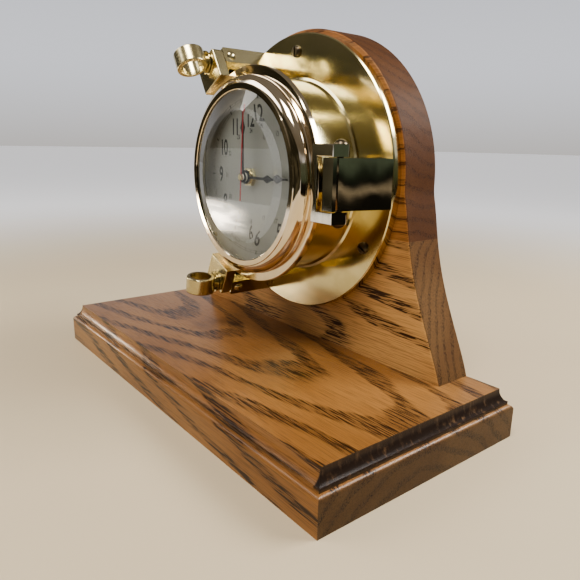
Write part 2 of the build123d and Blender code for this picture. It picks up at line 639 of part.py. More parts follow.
SECOND_ARBOR_BACK = 19.0
SECOND_WHEEL_R = 6.0
SECOND_WHEEL_BACK = 20.0
SECOND_WHEEL_T = 0.8
with BuildPart() as second_arbor:
    ring(0, SECOND_ARBOR_R, SECOND_ARBOR_BACK, SECOND_ARBOR_FRONT)
    ring(0, SECOND_WHEEL_R, SECOND_WHEEL_BACK, SECOND_WHEEL_BACK + SECOND_WHEEL_T)
save(second_arbor.part, "second_arbor")

BOARD_BACK = CASE_BACK + CASE_PLATE
BOARD_T = 1.0
BOARD_LENGTH = 50.0
BOARD_WIDTH = 20.0
BOARD_Z = 15.5
BOARD_HOLE_R = 2.5
with BuildPart(front(BOARD_BACK)) as circuit_board:
    with Locations((0, BOARD_Z)):
        Box(BOARD_LENGTH, BOARD_WIDTH, BOARD_T, align=UP)
    with Locations((0, TRAIN_DISTANCE)):
        Cylinder(radius=BOARD_HOLE_R, height=CASE_BACK, mode=Mode.SUBTRACT)
save(circuit_board.part, "circuit_board")

COIL_X = 20.0
COIL_S = 21.5
COIL_CORE_R = 1.2
COIL_R = 3.4
COIL_HALF_L = 8.0
COIL_Z = CLOCK_Z + 1.0
with BuildPart() as motor_coil:
    with Locations((COIL_X, FACE_Y - COIL_S, COIL_Z)):
        Cylinder(radius=COIL_R, height=2 * COIL_HALF_L)
        Cylinder(radius=COIL_CORE_R, height=2 * COIL_HALF_L, mode=Mode.SUBTRACT)
save(motor_coil.part, "motor_coil")

STATOR_ARM_T = 1.6
STATOR_REACH = 9.0
STATOR_PLATE_T = 2.4
STATOR_FOOT_W = 2.0
STATOR_OVERHANG = 1.5
with BuildPart() as motor_stator:
    with Locations((COIL_X, FACE_Y - COIL_S, COIL_Z)):
        Cylinder(radius=COIL_CORE_R, height=2 * COIL_HALF_L)
    for end in (-1, 1):
        with Locations((COIL_X - STATOR_REACH / 2 + STATOR_OVERHANG, FACE_Y - COIL_S,
                        COIL_Z + end * (COIL_HALF_L + STATOR_ARM_T / 2))):
            Box(STATOR_REACH, STATOR_PLATE_T, STATOR_ARM_T)
    with Locations((COIL_X, FACE_Y - COIL_S + STATOR_PLATE_T / 2, COIL_Z + COIL_HALF_L + STATOR_ARM_T)):
        Box(STATOR_FOOT_W, COIL_S - BOARD_BACK - BOARD_T - STATOR_PLATE_T / 2, STATOR_ARM_T,
            align=(Align.CENTER, Align.MIN, Align.MAX))
save(motor_stator.part, "motor_stator")

CELL_R = 7.1
CELL_HALF_L = 24.0
CELL_Z = -19.4
CELL_S = 23.0
CELL_NUB = 1.0
CELL_NUB_R = 2.6
cell_plane = Plane(origin=(0, FACE_Y - CELL_S, CLOCK_Z + CELL_Z), x_dir=(0, 1, 0), z_dir=(1, 0, 0))
with BuildPart(cell_plane) as battery:
    Cylinder(radius=CELL_R, height=2 * CELL_HALF_L)
    with Locations((0, 0, CELL_HALF_L)):
        Cylinder(radius=CELL_NUB_R, height=CELL_NUB, align=UP)
save(battery.part, "battery")

INNER_HALF = CASE_SIZE / 2 - CASE_WALL
CONTACT_T = 0.5
CONTACT_SIZE = 8.0
SPRING_BACK_R = 3.5
SPRING_TIP_R = 1.5
with BuildPart(cell_plane) as battery_contacts:
    with Locations((0, 0, -INNER_HALF)):
        Box(CONTACT_SIZE, CONTACT_SIZE, CONTACT_T, align=UP)
        Cone(bottom_radius=SPRING_BACK_R, top_radius=SPRING_TIP_R,
             height=INNER_HALF - CELL_HALF_L, align=UP)
    with Locations((0, 0, INNER_HALF)):
        Box(CONTACT_SIZE, CONTACT_SIZE, INNER_HALF - CELL_HALF_L - CELL_NUB, align=DOWN)
save(battery_contacts.part, "battery_contacts")


# ---------------------------------------------------------------- hands
HOUR_HAND = {
    "bore_r": HOUR_PIPE_R, "hub_r": 3.8, "bar_half": 0.7, "spade": (17.0, 20.4, 23.8),
    "spade_half": 2.1, "tip": 29.0, "tip_half": 0.3, "angle": 0,
}
MINUTE_HAND = {
    "bore_r": CANNON_R, "hub_r": 2.9, "bar_half": 0.6, "spade": (22.5, 26.0, 29.5),
    "spade_half": 2.0, "tip": 36.5, "tip_half": 0.4, "angle": 90,
}


def spade_hand(standoff, bore_r, hub_r, bar_half, spade, spade_half, tip, tip_half, angle):
    """Flat hand: hub, straight bar, diamond spade (start, widest, neck) and a slim pointer."""
    start, widest, neck = spade
    with BuildSketch(front(standoff)) as outline:
        Circle(hub_r)
        with Locations(Rotation(0, 0, angle)):
            Rectangle(widest, 2 * bar_half, align=(Align.MIN, Align.CENTER))
            Polygon((start, bar_half), (widest, spade_half), (neck, bar_half), (tip, tip_half),
                    (tip, -tip_half), (neck, -bar_half), (widest, -spade_half),
                    (start, -bar_half), align=None)
        Circle(bore_r, mode=Mode.SUBTRACT)
    extrude(outline.sketch, amount=HAND_T)


with BuildPart() as hour_hand:
    spade_hand(HOUR_HAND_S, **HOUR_HAND)
save(hour_hand.part, "hour_hand")

with BuildPart() as minute_hand:
    spade_hand(MINUTE_HAND_S, **MINUTE_HAND)
save(minute_hand.part, "minute_hand")

with BuildPart() as second_hand:
    with BuildSketch(front(SECOND_HAND_S)):
        Circle(SECOND_HUB_R)
        with Locations(Rotation(0, 0, SECOND_HAND_ANGLE)):
            with Locations((-SECOND_HAND_TAIL, 0)):
                Rectangle(SECOND_HAND_TAIL + SECOND_HAND_TIP, SECOND_HAND_W,
                          align=(Align.MIN, Align.CENTER))
        Circle(SECOND_ARBOR_R, mode=Mode.SUBTRACT)
    extrude(amount=HAND_T)
save(second_hand.part, "second_hand")

with BuildPart() as centre_cap:
    cap_back = SECOND_HAND_S + HAND_T
    turn((SECOND_ARBOR_R, cap_back), (CAP_R, cap_back), (CAP_R, CAP_FRONT - CAP_BEVEL),
         (CAP_R - CAP_BEVEL, CAP_FRONT), (0, CAP_FRONT), (0, SECOND_ARBOR_FRONT),
         (SECOND_ARBOR_R, SECOND_ARBOR_FRONT))
save(centre_cap.part, "centre_cap")
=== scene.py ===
import math

import bmesh
import bpy
from mathutils import Matrix, Vector


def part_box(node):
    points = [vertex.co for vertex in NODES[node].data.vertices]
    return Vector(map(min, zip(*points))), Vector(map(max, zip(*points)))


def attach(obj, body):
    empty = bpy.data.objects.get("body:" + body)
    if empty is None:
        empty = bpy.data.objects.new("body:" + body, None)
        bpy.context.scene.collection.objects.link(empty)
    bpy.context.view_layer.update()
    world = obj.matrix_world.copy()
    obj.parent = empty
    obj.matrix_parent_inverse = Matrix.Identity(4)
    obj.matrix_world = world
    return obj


# Ships deck clock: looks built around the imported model. Metres, +Z up, the dial faces -Y.

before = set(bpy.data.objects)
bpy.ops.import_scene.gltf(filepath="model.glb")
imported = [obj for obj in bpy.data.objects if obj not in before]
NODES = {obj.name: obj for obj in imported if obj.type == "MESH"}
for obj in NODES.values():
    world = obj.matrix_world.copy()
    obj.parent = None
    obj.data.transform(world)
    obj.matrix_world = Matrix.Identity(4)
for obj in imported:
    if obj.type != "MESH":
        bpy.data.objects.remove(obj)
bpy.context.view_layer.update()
MM = 0.001
CASE_BODY = "case_and_stand"

# ---------------------------------------------------------------- places read from the imported model
FLANGE_LOW, FLANGE_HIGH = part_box("mounting_flange")
CLOCK_Z = (FLANGE_LOW.z + FLANGE_HIGH.z) / 2
DIAL_FRONT_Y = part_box("dial_plate")[0].y
BASE_LOW, BASE_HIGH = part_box("base_board")


# ================================================================ shader helpers
class Graph:
    """A material's node tree, with short calls for the nodes used here."""

    def __init__(self, name):
        self.material = bpy.data.materials.new(name)
        self.material.use_nodes = True
        self.tree = self.material.node_tree
        self.shader = self.tree.nodes["Principled BSDF"]
        self.output = self.tree.nodes["Material Output"]

    def set(self, node, key, value):
        """Set a socket to a constant, or link it when the value is another node's output."""
        socket = node.inputs[key]
        if isinstance(value, bpy.types.NodeSocket):
            self.tree.links.new(value, socket)
        else:
            socket.default_value = value

    def add(self, kind, inputs=None, output=0, **props):
        node = self.tree.nodes.new(kind)
        for key, value in props.items():
            setattr(node, key, value)
        for key, value in (inputs or {}).items():
            self.set(node, key, value)
        return node.outputs[output]

    def math(self, operation, a, b=0.0, c=0.0):
        return self.add("ShaderNodeMath", {0: a, 1: b, 2: c}, operation=operation)

    def vector(self, operation, a, b=(0, 0, 0), output=0):
        return self.add("ShaderNodeVectorMath", {0: a, 1: b}, output=output, operation=operation)

    def place(self, scale=(1, 1, 1), offset=(0, 0, 0)):
        """Object coordinates in millimetres, scaled and shifted."""
        coordinates = self.add("ShaderNodeTexCoord", output=3)
        scaled = [s / MM for s in scale]
        return self.add("ShaderNodeMapping", {0: coordinates, 1: offset, 3: scaled})

    def noise(self, place, scale=1.0, detail=3.0, roughness=0.5, distortion=0.0, output=0):
        keys = {"Vector": place, "Scale": scale, "Detail": detail, "Roughness": roughness,
                "Distortion": distortion}
        return self.add("ShaderNodeTexNoise", keys, output=output)

    def ramp(self, value, stops, smooth=True):
        """Colour ramp from (position, colour or grey) stops."""
        node = self.tree.nodes.new("ShaderNodeValToRGB")
        elements = node.color_ramp.elements
        while len(elements) < len(stops):
            elements.new(0.5)
        for element, (position, colour) in zip(elements, stops):
            element.position = position
            grey = isinstance(colour, (int, float))
            element.color = (colour, colour, colour, 1) if grey else (*colour, 1)
        node.color_ramp.interpolation = "EASE" if smooth else "LINEAR"
        self.set(node, 0, value)
        return node.outputs[0]

    def between(self, value, low, high, out_low=0.0, out_high=1.0):
        """Smooth step of a value from low to high."""
        return self.add("ShaderNodeMapRange", {0: value, 1: low, 2: high, 3: out_low, 4: out_high},
                        interpolation_type="SMOOTHSTEP")

    def mix(self, factor, a, b, blend="MIX"):
        a = a if isinstance(a, bpy.types.NodeSocket) else (*a, 1)
        b = b if isinstance(b, bpy.types.NodeSocket) else (*b, 1)
        return self.add("ShaderNodeMix", {0: factor, 6: a, 7: b}, output=2, data_type="RGBA",
                        blend_type=blend)

    def bump(self, height, distance, strength=1.0):
        normal = self.add("ShaderNodeBump", {"Height": height, "Distance": distance * MM,
                                             "Strength": strength})
        self.set(self.shader, "Normal", normal)

    def finish(self, **inputs):
        for key, value in inputs.items():
            self.set(self.shader, key.replace("_", " "), value)
        return self.material


# ================================================================ oak
def oak(name, pith, taper, ring_width, tones, seed, edge_tone):
    """Stained oak with its grain along X; pith is the (y, z) of the tree's heart in mm."""
    g = Graph(name)
    place = g.place()
    shifted = g.vector("ADD", place, (seed * 37.0, seed * 11.0, seed * 5.0))
    slow = g.noise(g.vector("MULTIPLY", shifted, (0.006, 0.012, 0.012)), detail=2.0, output=1)
    warp = g.vector("MULTIPLY", g.vector("SUBTRACT", slow, (0.5, 0.5, 0.5)), (0, 14.0, 14.0))
    bent = g.vector("ADD", place, warp)
    across = g.vector("MULTIPLY", g.vector("SUBTRACT", bent, (0, *pith)), (0, 1, 1))
    radius = g.vector("LENGTH", across, output=1)
    x = g.add("ShaderNodeSeparateXYZ", {0: place}, output=0)
    fibre = g.noise(g.vector("MULTIPLY", shifted, (0.03, 0.7, 0.7)), detail=3.0)
    uneven = g.noise(g.vector("MULTIPLY", shifted, (0.003, 0.05, 0.05)), detail=1.0)
    rings = g.math("ADD", radius, g.math("MULTIPLY", x, taper))
    rings = g.math("ADD", rings, g.math("MULTIPLY", fibre, 1.8))
    rings = g.math("DIVIDE", g.math("ADD", rings, g.math("MULTIPLY", uneven, 9.0)), ring_width)
    early = g.ramp(g.math("FRACT", rings), [(0.0, 0.9), (0.06, 1.0), (0.26, 0.8), (0.40, 0.0),
                                            (0.93, 0.0), (1.0, 0.9)])

    pores = g.noise(g.vector("MULTIPLY", shifted, (0.060, 1.2, 1.2)), detail=2.0, roughness=0.6)
    pore_line = g.between(pores, 0.47, 0.58)
    fine = g.noise(g.vector("MULTIPLY", shifted, (0.045, 2.1, 2.1)), detail=2.0, roughness=0.7)
    fine_line = g.between(fine, 0.47, 0.64)
    dark_line = g.math("MULTIPLY", pore_line, g.math("MULTIPLY_ADD", early, 0.9, 0.04))
    normal = g.add("ShaderNodeTexCoord", output=1)
    facing = g.math("ABSOLUTE", g.add("ShaderNodeSeparateXYZ", {0: normal}, output=edge_tone[2]))
    at_edge = g.between(facing, *edge_tone[3])
    shade = g.math("MULTIPLY_ADD", early, 0.26, dark_line)
    shade = g.math("MULTIPLY", shade, g.math("MULTIPLY_ADD", at_edge, -0.55, 1.0))
    shade = g.math("MINIMUM", g.math("MULTIPLY_ADD", fine_line, 0.40, shade), 1.0)

    light, middle, dark = tones
    blotch = g.noise(g.vector("MULTIPLY", shifted, (0.010, 0.03, 0.03)), detail=2.0)
    colour = g.mix(shade, g.mix(g.between(blotch, 0.35, 0.65), light, middle), dark)

    colour = g.mix(g.math("MULTIPLY", at_edge, edge_tone[1]), colour, edge_tone[0], blend="MULTIPLY")
    dents = g.noise(g.place((0.35, 0.35, 0.35)), detail=4.0)
    roughness = g.math("MULTIPLY_ADD", dents, 0.16, 0.28)
    roughness = g.math("MULTIPLY_ADD", at_edge, 0.3, roughness)
    g.bump(g.math("SUBTRACT", 1.0, g.math("MAXIMUM", dark_line, g.math("MULTIPLY", fine_line, 0.3))),
           0.09, 0.5)
    return g, colour, roughness


HONEY = ((0.345, 0.172, 0.060), (0.265, 0.122, 0.039), (0.026, 0.010, 0.004))
LOWER = ((0.60, 0.340, 0.135), (0.48, 0.245, 0.088), (0.040, 0.015, 0.006))
UPPER = ((0.40, 0.185, 0.064), (0.32, 0.135, 0.043), (0.090, 0.036, 0.013))
# The moulding's hollow and step on the base, in mm: each pair is where a band fades in.
HOLLOW_FOOT = (16.8, 18.9)
HOLLOW_TOP = (24.95, 24.4)
HOLLOW_INSET = (6.0, 5.0)
STEP_FOOT = (17.2, 18.5)
STEP_TOP = (19.6, 18.7)
BURNT = (0.018, 0.009, 0.005)
# Tone of the darker patches on the step at the foot of the hollow, near the outer faces.
STEP_DARK = (0.018, 0.007, 0.003)
BASE_COAT = 0.30
UPRIGHT_COAT = 0.03
# Which faces count as edges: the normal's axis, and its sizes where the edge tone fades in.
FACES_X = (0, (0.55, 0.95))
FACES_NOT_Y = (1, (0.75, 0.35))


def varnish(g, colour, roughness, coat):
    return g.finish(Base_Color=colour, Roughness=roughness, Coat_Weight=coat, Coat_Roughness=0.18,
                    Coat_IOR=1.45, Specular_IOR_Level=0.25)


def base_oak():
    """Base board: the moulding's hollow is burnt dark along its ends and in its corners."""
    g, colour, roughness = oak("oak_base", (-8.0, -42.0), 0.11, 8.5, HONEY, 1.0,
                               ((0.25, 0.28, 0.32), 0.9, *FACES_X))
    half_length = BASE_HIGH.x / MM
    half_depth = BASE_HIGH.y / MM
    place = g.place()
    parts = [g.add("ShaderNodeSeparateXYZ", {0: place}, output=i) for i in range(3)]
    x_inset = g.math("SUBTRACT", half_length, g.math("ABSOLUTE", parts[0]))
    y_inset = g.math("SUBTRACT", half_depth, g.math("ABSOLUTE", parts[1]))
    in_hollow = g.math("MULTIPLY", g.between(parts[2], *HOLLOW_FOOT), g.between(parts[2], *HOLLOW_TOP))
    at_end = g.math("MULTIPLY", g.between(x_inset, *HOLLOW_INSET), in_hollow)
    ragged = g.noise(g.place((0.4, 0.4, 0.12)), detail=4.0)
    burn = g.math("MULTIPLY", at_end, g.between(ragged, 0.18, 0.5))
    colour = g.mix(burn, colour, BURNT)
    roughness = g.math("MULTIPLY_ADD", burn, 0.35, roughness)
    # The step at the foot of the hollow is darker near the outer faces, in patches.
    step = g.math("MULTIPLY", g.between(parts[2], *STEP_FOOT), g.between(parts[2], *STEP_TOP))
    inset = g.math("MINIMUM", x_inset, y_inset)
    at_edge = g.between(inset, *HOLLOW_INSET)
    patchy = g.between(g.noise(g.place((0.05, 0.2, 0.2)), detail=3.0), 0.4, 0.62)
    step_dark = g.math("MULTIPLY", g.math("MULTIPLY", step, at_edge), g.math("MULTIPLY_ADD", patchy, 0.7, 0.2))
    colour = g.mix(step_dark, colour, STEP_DARK)
    return varnish(g, colour, roughness, BASE_COAT)


def board_oak(*settings):
    return varnish(*oak(*settings), UPRIGHT_COAT)


# ================================================================ brass and other metals
def brass(name, bright, deep, rough=0.10, turned=0.0, tarnish=0.35):
    """Polished brass with smears, fine wear and, on turned work, faint circular tool marks."""
    g = Graph(name)
    smear = g.noise(g.place((0.05, 0.05, 0.05)), detail=5.0, roughness=0.62, distortion=0.6)
    spots = g.noise(g.place((0.55, 0.55, 0.55)), detail=4.0, roughness=0.7)
    speck = g.between(spots, 0.64, 0.74)
    colour = g.mix(g.between(smear, 0.35, 0.68), bright, deep)
    dull = tuple(0.55 * c for c in deep)
    colour = g.mix(g.math("MULTIPLY", speck, tarnish), colour, dull)
    roughness = g.math("MULTIPLY_ADD", g.between(smear, 0.3, 0.75), 0.06, rough)
    roughness = g.math("MULTIPLY_ADD", speck, 0.12, roughness)
    place = g.place()
    if turned:
        centre = g.vector("SUBTRACT", place, (0, 0, CLOCK_Z / MM))
        parts = [g.add("ShaderNodeSeparateXYZ", {0: centre}, output=i) for i in range(3)]
        radius = g.math("SQRT", g.math("ADD", g.math("MULTIPLY", parts[0], parts[0]),
                                       g.math("MULTIPLY", parts[2], parts[2])))
        line = g.add("ShaderNodeCombineXYZ", {0: g.math("MULTIPLY", radius, 5.0),
                                              1: g.math("MULTIPLY", parts[1], 5.0)})
        marks = g.noise(line, detail=3.0, roughness=0.7)
        g.bump(marks, 0.010 * turned, 0.35)
    else:
        scratch = g.noise(g.vector("MULTIPLY", place, (2.2, 0.25, 1.3)), detail=3.0, roughness=0.7)
        g.bump(scratch, 0.006, 0.3)
    return g.finish(Base_Color=colour, Metallic=1.0, Roughness=roughness)


def metal(name, bright, deep, rough):
    g = Graph(name)
    cloud = g.noise(g.place((0.6, 0.6, 0.6)), detail=4.0)
    colour = g.mix(cloud, bright, deep)
    g.bump(g.noise(g.place((3.0, 3.0, 3.0)), detail=3.0), 0.01, 0.3)
    return g.finish(Base_Color=colour, Metallic=1.0,
                    Roughness=g.math("MULTIPLY_ADD", cloud, 0.2, rough))


def plain(name, light, dark, rough, coat=0.0):
    """Moulded plastic, rubber or enamel: mottled colour with a fine grain."""
    g = Graph(name)
    cloud = g.noise(g.place((0.3, 0.3, 0.3)), detail=4.0)
    colour = g.mix(cloud, light, dark)
    g.bump(g.noise(g.place((6.0, 6.0, 6.0)), detail=2.0), 0.01, 0.25)
    return g.finish(Base_Color=colour, Roughness=g.math("MULTIPLY_ADD", cloud, 0.12, rough),
                    Coat_Weight=coat, Coat_Roughness=0.1)


def dial_silver():
    """Silvered dial with a vertical satin grain and a faint stain."""
    g = Graph("dial_silver")
    grain = g.noise(g.place((6.0, 6.0, 0.12)), detail=3.0, roughness=0.7)
    cloud = g.noise(g.place((0.04, 0.04, 0.04)), detail=3.0)
    colour = g.mix(cloud, (0.39, 0.39, 0.36), (0.31, 0.31, 0.29))
    colour = g.mix(g.math("MULTIPLY", grain, 0.3), colour, (0.25, 0.24, 0.22))
    g.bump(grain, 0.01, 0.35)
    return g.finish(Base_Color=colour, Metallic=0.75,
                    Roughness=g.math("MULTIPLY_ADD", grain, 0.12, 0.36))


def glass():
    """Bevelled crystal; shadow rays pass, so that the dial behind it is lit."""
    g = Graph("crystal_glass")
    haze = g.between(g.noise(g.place((0.07, 0.07, 0.07)), detail=4.0), 0.5, 0.8)
    g.finish(Base_Color=(0.97, 0.985, 0.975, 1.0), Roughness=g.math("MULTIPLY", haze, 0.035),
             IOR=1.5, Transmission_Weight=1.0)
    clear = g.add("ShaderNodeBsdfTransparent", {0: (0.93, 0.95, 0.94, 1.0)})
    shadow = g.add("ShaderNodeLightPath", output=1)
    both = g.add("ShaderNodeMixShader", {0: shadow, 1: g.shader.outputs[0], 2: clear})
    g.set(g.output, "Surface", both)
    return g.material


CASE_BRASS = ((0.76, 0.69, 0.44), (0.66, 0.58, 0.33))
BEZEL_BRASS = ((0.84, 0.74, 0.60), (0.77, 0.66, 0.50))
CAST_BRASS = ((0.68, 0.61, 0.40), (0.56, 0.48, 0.28))
SILVER_BRASS = ((0.86, 0.82, 0.72), (0.78, 0.73, 0.62))

MATERIALS = {
    "base": base_oak(),
    "lower_board": board_oak("oak_lower_board", (150.0, 10.0), 0.06, 5.6, LOWER, 2.0,
                             ((0.20, 0.18, 0.16), 0.9, *FACES_NOT_Y)),
    "upper_board": board_oak("oak_upper_board", (90.0, 260.0), 0.05, 7.5, UPPER, 3.0,
                             ((0.20, 0.16, 0.13), 0.92, *FACES_NOT_Y)),
    "turned_brass": brass("brass_turned", *CASE_BRASS, rough=0.12, turned=1.0),
    "bezel_brass": brass("brass_bezel", *BEZEL_BRASS, rough=0.06, turned=0.6),
    "cast_brass": brass("brass_cast", *CAST_BRASS, rough=0.20),
    "pale_brass": brass("brass_pale", *SILVER_BRASS, rough=0.03, tarnish=0.15),
    "dark_screw": metal("screw_dark", (0.20, 0.16, 0.11), (0.07, 0.055, 0.04), 0.22),
    "steel": metal("steel", (0.62, 0.61, 0.59), (0.45, 0.44, 0.43), 0.25),
    "copper": metal("copper_wire", (0.72, 0.33, 0.15), (0.55, 0.22, 0.10), 0.3),
    "rubber": plain("rubber", (0.035, 0.035, 0.035), (0.06, 0.06, 0.06), 0.6),
    "black": plain("enamel_black", (0.008, 0.008, 0.010), (0.014, 0.014, 0.016), 0.42),
    "ink": plain("dial_ink", (0.014, 0.014, 0.016), (0.03, 0.03, 0.03), 0.55),
    "red": plain("enamel_red", (0.46, 0.035, 0.04), (0.34, 0.02, 0.03), 0.35, coat=0.2),
    "case": plain("movement_case", (0.03, 0.03, 0.032), (0.05, 0.05, 0.05), 0.45),
    "gear": plain("gear_plastic", (0.80, 0.78, 0.70), (0.68, 0.66, 0.58), 0.4),
    "board": plain("circuit_board", (0.03, 0.16, 0.06), (0.05, 0.24, 0.09), 0.35),
    "cell": plain("battery_shell", (0.10, 0.10, 0.11), (0.16, 0.16, 0.17), 0.3, coat=0.3),
    "dial": dial_silver(),
    "crystal": glass(),
}

NODE_MATERIALS = {
    "base": ["base_board"],
    "lower_board": ["upright_lower_board"],
    "upper_board": ["upright_upper_board"],
    "turned_brass": ["mounting_flange", "case_drum", "dial_seat_ring"],
    "bezel_brass": ["bezel_ring", "crystal_retaining_ring"],
    "cast_brass": ["dog_lug", "dog_bolt", "dog_washer", "dog_nut", "bezel_ear", "movement_bush",
                   "movement_nut", "centre_cap", "dial_screws", "dog_pivot_pin"],
    "pale_brass": ["hinge_leaf", "hinge_arm"],
    "dark_screw": ["flange_screws", "hinge_pin"],
    "steel": ["stand_screws", "lug_fixing_screws", "second_arbor", "motor_stator",
              "battery_contacts"],
    "copper": ["motor_coil"],
    "rubber": ["crystal_gasket", "dial_washer"],
    "black": ["hour_hand", "minute_hand"],
    "red": ["second_hand"],
    "case": ["movement_case"],
    "gear": ["cannon_pinion", "hour_wheel", "motion_wheel", "setting_knob"],
    "board": ["circuit_board"],
    "cell": ["battery"],
    "dial": ["dial_plate"],
    "crystal": ["crystal"],
}
PREFIXES = sorted(((prefix, key) for key, group in NODE_MATERIALS.items() for prefix in group),
                  key=lambda pair: len(pair[0]))
for node_name, node in NODES.items():
    for prefix, key in PREFIXES:
        if node_name.startswith(prefix):
            node.data.materials.clear()
            node.data.materials.append(MATERIALS[key])


# ================================================================ mesh helpers
def new_piece(name, mesh_builder, material, body, smooth=True):
    """Make an object from a filled bmesh, give it its material, and let it ride on a body."""
    mesh = bpy.data.meshes.new(name)
    mesh_builder.normal_update()
    mesh_builder.to_mesh(mesh)
    mesh_builder.free()
    for polygon in mesh.polygons:
        polygon.use_smooth = smooth
    piece = bpy.data.objects.new(name, mesh)
    bpy.context.scene.collection.objects.link(piece)
    mesh.materials.append(MATERIALS[material])
    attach(piece, body)
    return piece


# ================================================================ dial printing
INK_LIFT = 0.03 * MM
NUMERAL_R = 31.0 * MM
NUMERAL_HEIGHT = 9.0 * MM
SMALL_R = 24.6 * MM
SMALL_HEIGHT = 2.6 * MM
TRACK_R = 38.4 * MM
TRACK_WIDTH = 1.5 * MM
TRACK_LINE = 0.12 * MM
TRACK_STEPS = 180
MAJOR_MARK = (2.2 * MM, 0.32 * MM)
MINOR_MARK = (TRACK_WIDTH, 0.11 * MM)
NUMERAL_SHAPE = (0.68, 0.022)
SMALL_SHAPE = (0.85, 0.01)
FONT_SIZE_PER_HEIGHT = 1.37
FONT_SPACING = 0.92


def dial_point(radius, angle):
    """Point just in front of the dial, angle clockwise from 12."""
    return Vector((radius * math.sin(angle), DIAL_FRONT_Y - INK_LIFT, CLOCK_Z + radius * math.cos(angle)))


def numeral(text, radius, angle, height, shape):
    """An upright printed number, centred on its place; shape is its narrowing and its weight."""
    narrow, weight = shape
    curve = bpy.data.curves.new(f"numeral_{text}", "FONT")
    curve.body = text
    curve.size = height * FONT_SIZE_PER_HEIGHT
    curve.align_x = "CENTER"
    curve.align_y = "CENTER"
    curve.offset = weight * height
    curve.space_character = FONT_SPACING
    holder = bpy.data.objects.new("numeral_source", curve)
    bpy.context.scene.collection.objects.link(holder)
    bpy.context.view_layer.update()
    mesh = bpy.data.meshes.new_from_object(holder.evaluated_get(bpy.context.evaluated_depsgraph_get()))
    bpy.data.objects.remove(holder)
    xs = [v.co.x for v in mesh.vertices]
    ys = [v.co.y for v in mesh.vertices]
    middle = Vector(((min(xs) + max(xs)) / 2, (min(ys) + max(ys)) / 2, 0))
    stand = Matrix(((narrow, 0, 0), (0, 0, -1), (0, 1, 0))).to_4x4()
    mesh.transform(Matrix.Translation(dial_point(radius, angle)) @ stand @ Matrix.Translation(-middle))
    mesh.materials.clear()
    mesh.materials.append(MATERIALS["ink"])
    piece = bpy.data.objects.new(f"numeral_{text}", mesh)
    bpy.context.scene.collection.objects.link(piece)
    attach(piece, CASE_BODY)


for hour in range(1, 13):
    turn = math.radians(30 * hour)
    numeral(str(hour), NUMERAL_R, turn, NUMERAL_HEIGHT, NUMERAL_SHAPE)
    numeral(str(hour + 12), SMALL_R, turn, SMALL_HEIGHT, SMALL_SHAPE)


def minute_track():
    """Sixty marks between two fine circles."""
    b = bmesh.new()

    def quad(r0, r1, angle, half_width):
        along = Vector((math.sin(angle), 0, math.cos(angle)))
        side = Vector((math.cos(angle), 0, -math.sin(angle))) * half_width
        centre = Vector((0, DIAL_FRONT_Y - INK_LIFT, CLOCK_Z))
        corners = [centre + along * r0 - side, centre + along * r0 + side,
                   centre + along * r1 + side, centre + along * r1 - side]
        b.faces.new([b.verts.new(c) for c in corners])

    for minute in range(60):
        length, half_width = MINOR_MARK if minute % 5 else MAJOR_MARK
        quad(TRACK_R, TRACK_R + length, math.radians(6 * minute), half_width)
    for radius in (TRACK_R, TRACK_R + TRACK_WIDTH):
        for i in range(TRACK_STEPS):
            a0, a1 = (2 * math.pi * k / TRACK_STEPS for k in (i, i + 1))
            corners = [dial_point(radius, a0), dial_point(radius, a1),
                       dial_point(radius + TRACK_LINE, a1), dial_point(radius + TRACK_LINE, a0)]
            b.faces.new([b.verts.new(c) for c in corners])
    bmesh.ops.remove_doubles(b, verts=b.verts, dist=1e-7)
    new_piece("minute_track", b, "ink", CASE_BODY, smooth=False)


minute_track()

# ================================================================ stage, lights and camera
CORNER = Vector((BASE_HIGH.x, BASE_LOW.y, BASE_LOW.z))
CAMERA_OFFSET = Vector((128.5, -116.2, 138.2)) * MM
CAMERA_YAW = -0.901
CAMERA_PITCH = -0.255
CAMERA_ROLL = 0.018
CAMERA_LENS = 34.86
FLOOR_HALF = 12.0
# Distances in mm over which the floor turns from warm to pale grey and its painted glow rises from dim to
# bright.
FLOOR_WARM = (300.0, 1100.0)
WORLD_STRENGTH = 0.8
LOOK_AT = (0, 0, 0.1)
# Cards: the plane they stand in, their extent along it, and their height.
DARK_CARD = (0.42, -0.35, 1.1, 0.24)
DIM_CARD = (-0.6, -2.6, 0.6, 0.5)
SUNLIT_Y = -0.15
SUNLIT_OUTLINE = ((-0.33, 0.04), (-0.18, 0.04), (-0.18, 0.11), (-0.33, 0.11))
# Each light: name, place, size, power and colour.
LIGHTS = [
    ("window", (0.45, 0.55, 0.60), (0.5, 0.3), 7.0, (1.0, 0.99, 0.96)),
    ("overhead", (0.25, -0.35, 0.95), (0.35, 0.35), 6.2, (1.0, 0.96, 0.90)),
    ("fill", (-0.65, -0.85, 0.75), (0.8, 0.6), 6.5, (1.0, 0.97, 0.93)),
]


def make_camera():
    data = bpy.data.cameras.new("camera")
    data.sensor_width = 36.0
    data.lens = CAMERA_LENS
    data.clip_start = 0.005
    camera = bpy.data.objects.new("camera", data)
    bpy.context.scene.collection.objects.link(camera)
    forward = Vector((math.sin(CAMERA_YAW) * math.cos(CAMERA_PITCH),
                      math.cos(CAMERA_YAW) * math.cos(CAMERA_PITCH), math.sin(CAMERA_PITCH)))
    level = Vector((math.cos(CAMERA_YAW), -math.sin(CAMERA_YAW), 0))
    upright = level.cross(forward)
    right = math.cos(CAMERA_ROLL) * level + math.sin(CAMERA_ROLL) * upright
    up = -math.sin(CAMERA_ROLL) * level + math.cos(CAMERA_ROLL) * upright
    turn = Matrix((right, up, -forward)).transposed()
    camera.matrix_world = Matrix.Translation(CORNER + CAMERA_OFFSET) @ turn.to_4x4()
    bpy.context.scene.camera = camera


